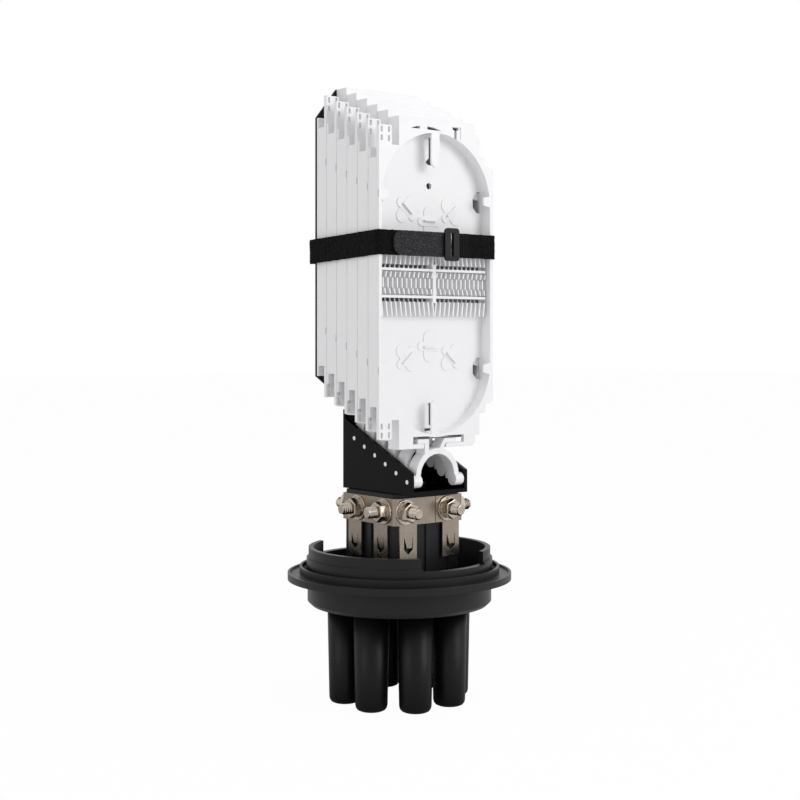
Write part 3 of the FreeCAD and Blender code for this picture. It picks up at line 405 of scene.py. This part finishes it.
# %% The ports
PORTS = 8
FIRST_PORT = 22.5
PORT_RING = 45.0
PORT_PROFILE = [
    (11.1, 77.0), (14.2, 77.0), (12.7, 4.5), (12.2, 2.4), (11.0, 0.8), (9.2, 0.0), (0.0, 0.0),
    (0.0, 2.5), (10.2, 2.5), (11.1, 77.0)]
ports = bmesh.new()
for n in range(PORTS):
    turn = math.radians(FIRST_PORT + 360 / PORTS * n)
    centre = Vector((PORT_RING * MM * math.cos(turn), PORT_RING * MM * math.sin(turn), 0))
    line = [ports.verts.new(centre + Vector((r * MM, 0, z * MM))) for r, z in PORT_PROFILE]
    edges = [ports.edges.new(pair) for pair in zip(line, line[1:])]
    bmesh.ops.spin(ports, geom=line + edges, cent=centre, axis=(0, 0, 1), angle=math.tau,
                   steps=48, use_merge=True)
# The ports take the darker polypropylene, which is painted shade.
port_piece = finished(
    ports, "cable_port_tubes", "base", ports_black_painted_shade, ["port_tubes"])
port_piece.data.shade_smooth()

# %% [markdown]
# ## Clamp bolts
# Eight bolts come out through the band. Each carries a large thin washer, a split spring
# washer and a nut, and its thread shows. The thread is a small triangle swept along a
# helix, which spin does when it also moves along the axis on each step. Each fastener is
# made along Z, with the band's face at zero.

# %% Bolts, washers and nuts
THREAD_PITCH = 1.9
THREAD_STEPS = 20
THREAD_PROFILE = ((3.75, 0, 0.1), (4.65, 0, 0.95), (3.75, 0, 1.8))
CORE_Y = -3.5
FACE = 35.0
BOLT_Z = 155
BOLT_X = (-24.5, 18.0)
BOLT_Y = (-24.5, 9.0)
BOLT_START, BOLT_END = -1.6, 17.0
BOLT_RADIUS = 3.9
HEAD_ACROSS = 11
HEAD_LOW, HEAD_HIGH = -6.0, -1.5
NUT_ACROSS = 14
NUT_LOW, NUT_HIGH = 2.7, 8.5
WASHER_RADIUS = 10.0
WASHER_TOP = 1.3
SPRING_WASHER = ((4.8, 0, WASHER_TOP), (7.4, 0, WASHER_TOP), (7.4, 0, NUT_LOW), (4.8, 0, NUT_LOW))
SPRING_TURN = 340
bolt_places = []
for x in BOLT_X:
    bolt_places += [((x, CORE_Y - FACE), (0, -1, 0)), ((x, CORE_Y + FACE), (0, 1, 0))]
for y in BOLT_Y:
    bolt_places += [((-FACE, y), (-1, 0, 0)), ((FACE, y), (1, 0, 0))]


def round_bar(sheet, radius, low, high, steps):
    """Adds a closed bar along Z, in mm, and returns its vertices. Six steps make a hexagon."""
    place = Matrix.Translation((0, 0, (low + high) / 2 * MM))
    made = bmesh.ops.create_cone(sheet, cap_ends=True, segments=steps, radius1=radius * MM,
                                 radius2=radius * MM, depth=(high - low) * MM, matrix=place)
    return made["verts"]


def chamfered(sheet, verts, size):
    """Cuts the rims at both ends of a bar along Z."""
    edges = {e for v in verts for e in v.link_edges}
    rims = [e for e in edges if abs(e.verts[0].co.z - e.verts[1].co.z) < 1e-7]
    bmesh.ops.bevel(sheet, geom=rims, offset=size * MM, offset_type="OFFSET", segments=2,
                    profile=0.5, affect="EDGES", material=-1)


def bolt():
    """A hexagon-headed bolt with its thread."""
    sheet = bmesh.new()
    round_bar(sheet, HEAD_ACROSS / math.sqrt(3), HEAD_LOW, HEAD_HIGH, 6)
    chamfered(sheet, round_bar(sheet, BOLT_RADIUS, BOLT_START, BOLT_END, 28), 0.5)
    ridge = ring(sheet, THREAD_PROFILE)
    turns = int((BOLT_END + 0.7 - THREAD_PITCH) / THREAD_PITCH)
    steps = THREAD_STEPS * turns
    bmesh.ops.spin(sheet, geom=ridge, cent=(0, 0, 0), axis=(0, 0, 1), angle=math.tau * turns,
                   steps=steps, dvec=(0, 0, THREAD_PITCH * turns / steps * MM))
    capped(sheet, sheet.edges)
    return sheet


def nut():
    """A chamfered hexagon nut."""
    sheet = bmesh.new()
    chamfered(sheet, round_bar(sheet, NUT_ACROSS / math.sqrt(3), NUT_LOW, NUT_HIGH, 6), 0.7)
    return sheet


def washers():
    """A large thin washer with a split spring washer on it."""
    sheet = bmesh.new()
    chamfered(sheet, round_bar(sheet, WASHER_RADIUS, 0.0, WASHER_TOP, 40), 0.3)
    bmesh.ops.spin(sheet, geom=ring(sheet, SPRING_WASHER), cent=(0, 0, 0), axis=(0, 0, 1),
                   angle=math.radians(SPRING_TURN), steps=34)
    capped(sheet, sheet.edges)
    return sheet


def eightfold(make, name, node):
    """Puts a copy of one fastener at each bolt place, all in one piece."""
    together = bmesh.new()
    for i, ((x, y), out) in enumerate(bolt_places):
        single = make()
        turn = Vector((0, 0, 1)).rotation_difference(Vector(out)).to_matrix().to_4x4()
        spun = turn @ Matrix.Rotation(math.radians(23 * i + 8), 4, "Z")
        place = Matrix.Translation((x * MM, y * MM, BOLT_Z * MM))
        bmesh.ops.transform(single, matrix=place @ spun, verts=single.verts)
        bmesh.ops.recalc_face_normals(single, faces=single.faces)
        mesh = bpy.data.meshes.new("single")
        single.to_mesh(mesh)
        together.from_mesh(mesh)
        single.free()
    return finished(together, name, "base", bolt_nickel, [node])


eightfold(bolt, "threaded_bolts", "clamp_bolts")
eightfold(nut, "hexagon_nuts", "clamp_nuts")
eightfold(washers, "plain_and_spring_washers", "clamp_washers")

# %% [markdown]
# ## Clamp band
# In each leg a tongue is pressed out of a slot. On the real band it is narrower than its
# slot and bends inwards, so that the slot reads as a dark line. A welded copy of the CAD
# band keeps its form, and only the tips of its tongues move.

# %% The band's tongues
WIDE_LEGS = (-21.6, 21.6)
NARROW_LEGS = (-16.7, 16.7)
LEG_HALF = 8
TONGUE_TOP = 144
TONGUE_BEND = 2.6
LEFT_SHIFT, RIGHT_SHIFT = 2.6, -0.4


def welded(node):
    """A copy of a CAD node's mesh with its doubled vertices joined."""
    sheet = bmesh.new()
    sheet.from_mesh(frame["nodes"][node].data)
    bmesh.ops.remove_doubles(sheet, verts=sheet.verts, dist=1e-6)
    return sheet


band = welded("clamp_band")
moved = 0
for out, legs in (((0, -1, 0), WIDE_LEGS), ((0, 1, 0), WIDE_LEGS),
                  ((-1, 0, 0), NARROW_LEGS), ((1, 0, 0), NARROW_LEGS)):
    out = Vector(out)
    right = Vector((0, 0, 1)).cross(out)
    for vert in band.verts:
        place = vert.co / MM - Vector((0, CORE_Y, 0))
        along = place.dot(right)
        leg = min(legs, key=lambda value: abs(along - value))
        if place.dot(out) < FACE + 0.2 or place.z > TONGUE_TOP or abs(along - leg) > LEG_HALF:
            continue
        shift = LEFT_SHIFT if along < leg else RIGHT_SHIFT
        vert.co += (shift * right - TONGUE_BEND * out) * MM
        moved += 1
print("tongue corners moved:", moved)
finished(band, "nickel_clamp_band", "base", band_nickel, ["clamp_band"])

# %% [markdown]
# ## Splice trays
# The CAD tray has the deck, the round-ended pocket, the outer fins of the splice comb and
# the clips. A copy of its mesh is welded and gets what is too fine for the CAD. The same
# copy then serves all six trays, each one pitch further back and up. The guides that hold
# the fibre down stand a little too far out in the CAD, so they come first.

# %% A copy of the tray, with lower guides
PITCH_Y = 13.62
STEP_Z = 6.06
TRAY_Z = 332.5
FLOOR_Y = -37.2
ARC_Z = 62.5
GUIDE_HEIGHT = 6.5
GUIDE_DROP = 4.0
tray = welded("tray_1")
guides = [v for v in tray.verts if abs(v.co.y / MM - (FLOOR_Y - GUIDE_HEIGHT)) < 0.02]
bmesh.ops.translate(tray, verts=guides, vec=(0, GUIDE_DROP * MM, 0))
print("guide vertices lowered:", len(guides))

# %% [markdown]
# Over the pocket the deck has a long slit, straight below and curved above, with a bridge
# across it. The CAD's slit is turned with the pocket, and the real one lies level. A
# boolean modifier first fills the old slit with a thin block and then cuts the new one,
# which is a disc whose lower part is cut away.

# %% The slit over the pocket
SLIT_X = -11.5
SLIT_HALF = 15.2
SLIT_LOW = TRAY_Z + 119.5
SLIT_RISE = 2.5
SLIT_BRIDGE = (-17.8, -10.3)
DECK_MIDDLE_Y = -46.5
THROUGH_DECK = (-52, -41)
SLIT_RADIUS = (SLIT_HALF ** 2 + SLIT_RISE ** 2) / (2 * SLIT_RISE)
OLD_SLIT = ((-28.0, 7.0), (-47.97, -45.03), (TRAY_Z + 118.9, TRAY_Z + 125.8))


def after_boolean(sheet, tool, operation):
    """The mesh that a boolean modifier makes of two bmeshes, as a new bmesh."""
    parts = []
    for form in (sheet, tool):
        bmesh.ops.recalc_face_normals(form, faces=form.faces)
        mesh = bpy.data.meshes.new("boolean_part")
        form.to_mesh(mesh)
        form.free()
        parts.append(bpy.data.objects.new("boolean_part", mesh))
        bpy.context.collection.objects.link(parts[-1])
    change = parts[0].modifiers.new("change", "BOOLEAN")
    change.object = parts[1]
    change.operation = operation
    change.solver = "EXACT"
    graph = bpy.context.evaluated_depsgraph_get()
    result = bmesh.new()
    result.from_mesh(bpy.data.meshes.new_from_object(parts[0].evaluated_get(graph)))
    for part in parts:
        bpy.data.objects.remove(part)
    return result


fill = bmesh.new()
bar(fill, *OLD_SLIT)
tray = after_boolean(tray, fill, "UNION")
slit = bmesh.new()
middle = Matrix.Translation(
    (SLIT_X * MM, DECK_MIDDLE_Y * MM, (SLIT_LOW + SLIT_RISE - SLIT_RADIUS) * MM))
bmesh.ops.create_cone(slit, cap_ends=True, segments=160, radius1=SLIT_RADIUS * MM,
                      radius2=SLIT_RADIUS * MM, depth=6 * MM,
                      matrix=middle @ Matrix.Rotation(math.radians(90), 4, "X"))
bmesh.ops.bisect_plane(slit, geom=slit.verts[:] + slit.edges[:] + slit.faces[:],
                       plane_co=(0, 0, SLIT_LOW * MM), plane_no=(0, 0, 1), clear_inner=True)
capped(slit, slit.edges)
bridge = bmesh.new()
bar(bridge, SLIT_BRIDGE, THROUGH_DECK, (SLIT_LOW - 3, SLIT_LOW + 9))
tray = after_boolean(tray, after_boolean(slit, bridge, "DIFFERENCE"), "DIFFERENCE")
print("tray faces with its slit:", len(tray.faces))

# %% [markdown]
# The splice comb stands in the middle of the pocket. The floor has a slot beside each of
# its two bars. The CAD's outer fins cross that slot, and the real ones stop short of it, so
# they are cut back there. Between the bars are three rows of finer fins, which hold the
# splices: the outer two rows lean, and the middle one is upright and half a pitch aside.

# %% The comb's cut fins and inner rows
CUT_X = ((-54.0, -1.8), (1.8, 54.0))
CUT_Y = (-45.5, FLOOR_Y - 0.03)
CUT_Z = (11.55, 14.3)
OUTER_ROW = (4.2, 8.6)
MIDDLE_ROW = (-3.8, 3.8)
COLUMNS = 12
FIN_PITCH = 4.6
FIN_HALF = 0.6
FIN_HEIGHT = 6.8
FIN_LEAN = 0.9
cuts = bmesh.new()
for side in (1, -1):
    for x in CUT_X:
        bar(cuts, x, CUT_Y, sorted(TRAY_Z + side * z for z in CUT_Z))
tray = after_boolean(tray, cuts, "DIFFERENCE")


def comb_row(sheet, places, low, high, lean):
    """A row of upright fins of the splice comb, leaning to one side at one end."""
    for x in places:
        verts = bar(sheet, (x - FIN_HALF, x + FIN_HALF), (FLOOR_Y - FIN_HEIGHT, FLOOR_Y + 0.2),
                    (TRAY_Z + low, TRAY_Z + high))
        upper = [v for v in verts if v.co.z / MM > TRAY_Z + (low + high) / 2]
        bmesh.ops.translate(sheet, verts=upper, vec=(lean * MM, 0, 0))


outer = [side * (FIN_PITCH / 2 + FIN_PITCH * n) for n in range(COLUMNS) for side in (-1, 1)]
inner = [side * FIN_PITCH * (n + 1) for n in range(COLUMNS - 1) for side in (-1, 1)]
comb_row(tray, outer, *OUTER_ROW, FIN_LEAN)
comb_row(tray, inner, *MIDDLE_ROW, 0.0)
comb_row(tray, outer, -OUTER_ROW[1], -OUTER_ROW[0], -FIN_LEAN)
print("inner fins:", 2 * len(outer) + len(inner))

# %% [markdown]
# Each fibre guide stands on a low pad with the outline of two crossed round-ended bars.
# A box with its edges rounded to half its width is such a bar.

# %% Pads under the guides
GUIDE_TURN = 42
GUIDE_ARC = 34
GUIDE_ARC_Z = 20.5
PAD_BARS = ((11.0, 25.0, 0.5), (23.0, 7.5, 0.6))
pads = 0
for end in (1, -1):
    for degrees in (-GUIDE_TURN, 0, GUIDE_TURN):
        turn = math.radians(degrees)
        x = GUIDE_ARC * math.sin(turn)
        z = TRAY_Z + end * (ARC_Z + GUIDE_ARC_Z - GUIDE_ARC * math.cos(turn))
        for length, width, rise in PAD_BARS:
            known = set(tray.verts)
            rounded_bar(tray, (-length / 2, length / 2), (-rise, 0.3), (-width / 2, width / 2),
                        min(length, width) / 2 - 0.05, 6)
            fresh = [v for v in tray.verts if v not in known]
            place = Matrix.Translation((x * MM, FLOOR_Y * MM, z * MM))
            bmesh.ops.transform(tray, matrix=place @ Matrix.Rotation(-end * turn, 4, "Y"),
                                verts=fresh)
            pads += 1
print("pad bars:", pads)

# %% [markdown]
# The pocket's wall and floor are whole where they pass the stepped corners, where the floor
# shows as a narrow ledge. The wall piece is a small rectangle spun about the middle of the
# pocket's round end, and the ledge is a plain plate.

# %% Pocket wall and ledges
WALL_R = (55.04, 57.2)
WALL_Y = (-45.1, -35.3)
WALL_START = 31
WALL_TURN = 20
LEDGE_X = ((-58.0, -38.3), (38.3, 58.0))
LEDGE_Y = (FLOOR_Y, FLOOR_Y + 2.0)
LEDGE_Z = (94.9, 103.1)
for end in (1, -1):
    middle = TRAY_Z + end * ARC_Z
    centre = Vector((0, 0, middle * MM))
    for side in (1, -1):
        loop = ring(tray, [(WALL_R[0], WALL_Y[0], middle), (WALL_R[1], WALL_Y[0], middle),
                           (WALL_R[1], WALL_Y[1], middle), (WALL_R[0], WALL_Y[1], middle)])
        line = loop[:4]
        begin = -end * math.radians(WALL_START if side > 0 else 180 - WALL_START)
        bmesh.ops.rotate(tray, cent=centre, matrix=Matrix.Rotation(begin, 3, "Y"), verts=line)
        known = set(tray.verts)
        bmesh.ops.spin(tray, geom=loop, cent=centre, axis=(0, 1, 0),
                       angle=-end * side * math.radians(WALL_TURN), steps=8)
        wall = [v for v in tray.verts if v not in known] + line
        capped(tray, {e for v in wall for e in v.link_edges})
    for x in LEDGE_X:
        bar(tray, x, LEDGE_Y, sorted(TRAY_Z + end * z for z in LEDGE_Z))
bmesh.ops.recalc_face_normals(tray, faces=tray.faces)
tray_mesh = bpy.data.meshes.new("tray_form")
tray.to_mesh(tray_mesh)
tray.free()
print("tray triangles:", sum(len(p.vertices) - 2 for p in tray_mesh.polygons))

# %% [markdown]
# Six copies, each moved in its mesh. The real trays nearly touch at the back, so every
# tray but the last is half a millimetre deeper than its CAD solid.

# %% Six trays
TRAY_BACK_Y = -35.25
DEEPER = 0.5
for k in range(TRAYS):
    copy = bmesh.new()
    copy.from_mesh(tray_mesh)
    if k < TRAYS - 1:
        back = [v for v in copy.verts if v.co.y / MM > TRAY_BACK_Y]
        bmesh.ops.translate(copy, verts=back, vec=(0, DEEPER * MM, 0))
    bmesh.ops.translate(copy, verts=copy.verts, vec=(0, PITCH_Y * k * MM, STEP_Z * k * MM))
    finished(copy, f"splice_tray_{k + 1}", f"tray_unit_{k + 1}", tray_white,
             [f"tray_{k + 1}"])

# %% [markdown]
# ## The strap
# A hook-and-loop strap runs round the trays and the back plate, folds through a buckle in
# front and comes back over itself. It is a flat strap, so it is modelled directly: a line
# seen from above, pulled up to the strap's width, thickened, and roughened a little by
# noise, because its pile has no sharp edge. It bulges at the back left corner, and its
# back runs lower than its front.

# %% The strap's loop
STRAP_Z = 363.0
STRAP_WIDTH = 19.0
STRAP_FRONT_Y = -49.5
STRAP_DEPTH = 87
STRAP_DROP = 4.0
STRAP_CORNERS = [
    (14.6, STRAP_FRONT_Y, 0), (61.8, -49.3, 6), (59.9, -6.0, 20), (59.5, 37.0, 6),
    (-30.0, 37.2, 14), (-62.6, 41.0, 7), (-60.9, 8.0, 25), (-59.9, -49.6, 5),
    (6.8, STRAP_FRONT_Y, 0)]
LOOP_THICKNESS, LOOP_ROUGHNESS = 1.9, 0.4
ROWS = 11
CURVE_STEPS = 6
STEP_LENGTH = 1.8


def rounded_line(corners):
    """Points of a line in plan whose corners are rounded by the third value of each."""
    points = [Vector(corners[0][:2])]
    for (bx, by, _), (x, y, r), (ax, ay, _) in zip(corners, corners[1:], corners[2:]):
        corner = Vector((x, y))
        start = corner + (Vector((bx, by)) - corner).normalized() * r
        end = corner + (Vector((ax, ay)) - corner).normalized() * r
        for i in range(CURVE_STEPS + 1):
            t = i / CURVE_STEPS
            points.append((1 - t) ** 2 * start + 2 * t * (1 - t) * corner + t ** 2 * end)
    return points + [Vector(corners[-1][:2])]


def roughened(sheet, amount):
    """Moves each vertex a little along its normal by noise, as a soft pile does."""
    sheet.normal_update()
    for vert in sheet.verts:
        shift = noise.noise(vert.co / (1.4 * MM)) + 0.6 * noise.noise(vert.co / (6 * MM))
        vert.co += vert.normal * shift * amount * MM


def sloped(sheet):
    """Lowers the strap towards its back."""
    for vert in sheet.verts:
        vert.co.z -= STRAP_DROP * MM * (vert.co.y / MM - STRAP_FRONT_Y) / STRAP_DEPTH


def ribbon(points, low, high, thickness, amount):
    """A soft strip of tape along a line in plan, between two heights."""
    sheet = bmesh.new()
    line = [sheet.verts.new((p.x * MM, p.y * MM, low * MM)) for p in points]
    edges = [sheet.edges.new(pair) for pair in zip(line, line[1:])]
    for edge in list(edges):
        cuts = int(edge.calc_length() / (STEP_LENGTH * MM))
        if cuts:
            bmesh.ops.subdivide_edges(sheet, edges=[edge], cuts=cuts)
    front = list(sheet.edges)
    for _ in range(ROWS):
        grown = bmesh.ops.extrude_edge_only(sheet, edges=front)["geom"]
        verts = [g for g in grown if isinstance(g, bmesh.types.BMVert)]
        front = [g for g in grown if isinstance(g, bmesh.types.BMEdge)]
        bmesh.ops.translate(sheet, verts=verts, vec=(0, 0, (high - low) / ROWS * MM))
    bmesh.ops.recalc_face_normals(sheet, faces=sheet.faces)
    bmesh.ops.solidify(sheet, geom=list(sheet.faces), thickness=thickness * MM)
    bmesh.ops.recalc_face_normals(sheet, faces=sheet.faces)
    roughened(sheet, amount)
    sloped(sheet)
    return sheet


loop_line = rounded_line(STRAP_CORNERS)
loop = ribbon(loop_line, STRAP_Z - STRAP_WIDTH / 2, STRAP_Z + STRAP_WIDTH / 2, LOOP_THICKNESS,
              LOOP_ROUGHNESS)
strap_loop = finished(loop, "strap_loop", "base", loop_tape, ["strap"])
length = sum((b - a).length for a, b in zip(loop_line, loop_line[1:]))
print("strap loop length (mm):", round(length))

# %% [markdown]
# The tail lies over the front of the loop and ends in a round tongue on the left. To the
# right of the buckle the other end is folded back and sewn with a grid of small stitches.

# %% Tail, sewn end and stitches
END_THICKNESS = 1.6
TAIL_X = (-46.2, 6.9)
TAIL_Y = -52.4
TAIL_Z = (STRAP_Z - 9.6, STRAP_Z + 9.2)
TAIL_ROUGHNESS = 0.18
TONGUE_LENGTH = 8.5
FOLD_X = (14.4, 29.0)
FOLD_Y = -52.2
FOLD_Z = (STRAP_Z - 9.0, STRAP_Z + 9.0)
FOLD_ROUGHNESS = 0.1
STITCH_X = [17.8 + 2.2 * column for column in range(5)]
STITCH_Z = [STRAP_Z - 7.6 + 1.9 * row for row in range(9)]
STITCH_Y = -53.3
STITCH_RADIUS = 0.42
tail = ribbon([Vector((x, TAIL_Y)) for x in TAIL_X], *TAIL_Z, END_THICKNESS, TAIL_ROUGHNESS)
for vert in tail.verts:
    reach = (vert.co.x / MM - (TAIL_X[0] - 0.2)) / TONGUE_LENGTH
    if reach < 1:
        narrow = 0.18 + 0.82 * math.sqrt(max(0.0, 1 - (1 - max(reach, 0.0)) ** 2))
        vert.co.z = STRAP_Z * MM + (vert.co.z - STRAP_Z * MM) * narrow
tail_piece = finished(tail, "strap_tail", "base", hook_tape)

fold = ribbon([Vector((x, FOLD_Y)) for x in FOLD_X], *FOLD_Z, END_THICKNESS, FOLD_ROUGHNESS)
fold_piece = finished(fold, "strap_sewn_end", "base", loop_tape)

stitches = bmesh.new()
for x in STITCH_X:
    for z in STITCH_Z:
        place = Matrix.Translation((x * MM, STITCH_Y * MM, z * MM))
        bmesh.ops.create_icosphere(stitches, subdivisions=1, radius=STITCH_RADIUS * MM,
                                   matrix=place)
stitch_piece = finished(stitches, "strap_stitches", "base", thread_grey)

# %% [markdown]
# ## The buckle
# A moulded frame with a narrow slot. It starts as a box with rounded corners. Its front
# and back faces are inset, the new rims are drawn in, the faces inside them are removed,
# and bridging the two rims makes the slot.

# %% Buckle frame
BUCKLE_X = (1.8, 16.4)
BUCKLE_Y = (-55.2, -53.6)
BUCKLE_Z = (STRAP_Z - 12.9, STRAP_Z + 12.9)
BUCKLE_CORNER = 3.0
BUCKLE_FRAME = 3.8
SLOT_SCALE = 0.42
SOFT_EDGE = 0.5
buckle = bmesh.new()
rounded_bar(buckle, BUCKLE_X, BUCKLE_Y, BUCKLE_Z, BUCKLE_CORNER, 5)
sides = [f for f in buckle.faces if len(f.verts) > 6]
bmesh.ops.inset_individual(buckle, faces=sides, thickness=BUCKLE_FRAME * MM, use_even_offset=True)
inner_rim = list({v for f in sides for v in f.verts})
to_middle = Matrix.Translation((-sum(BUCKLE_X) / 2 * MM, 0, 0))
bmesh.ops.scale(buckle, vec=(SLOT_SCALE, 1, 1), space=to_middle, verts=inner_rim)
bridged = [e for f in sides for e in f.edges]
bmesh.ops.delete(buckle, geom=sides, context="FACES_ONLY")
bmesh.ops.bridge_loops(buckle, edges=bridged)
buckle_piece = finished(
    buckle, "strap_buckle_frame", "base", buckle_black, ["strap_buckle"])
soft_edge = buckle_piece.modifiers.new("soft_edges", "BEVEL")
soft_edge.width = SOFT_EDGE * MM
soft_edge.segments = 3
soft_edge.limit_method = "ANGLE"

# %% [markdown]
# The strap is undone before a tray is opened. Here each of its pieces gets a mesh of its own.

# %% The strap's pieces get meshes of their own
drawn_back = (strap_loop, tail_piece, fold_piece, stitch_piece, buckle_piece)
for piece in drawn_back:
    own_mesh(piece)
print("pieces that draw back:", len(drawn_back))
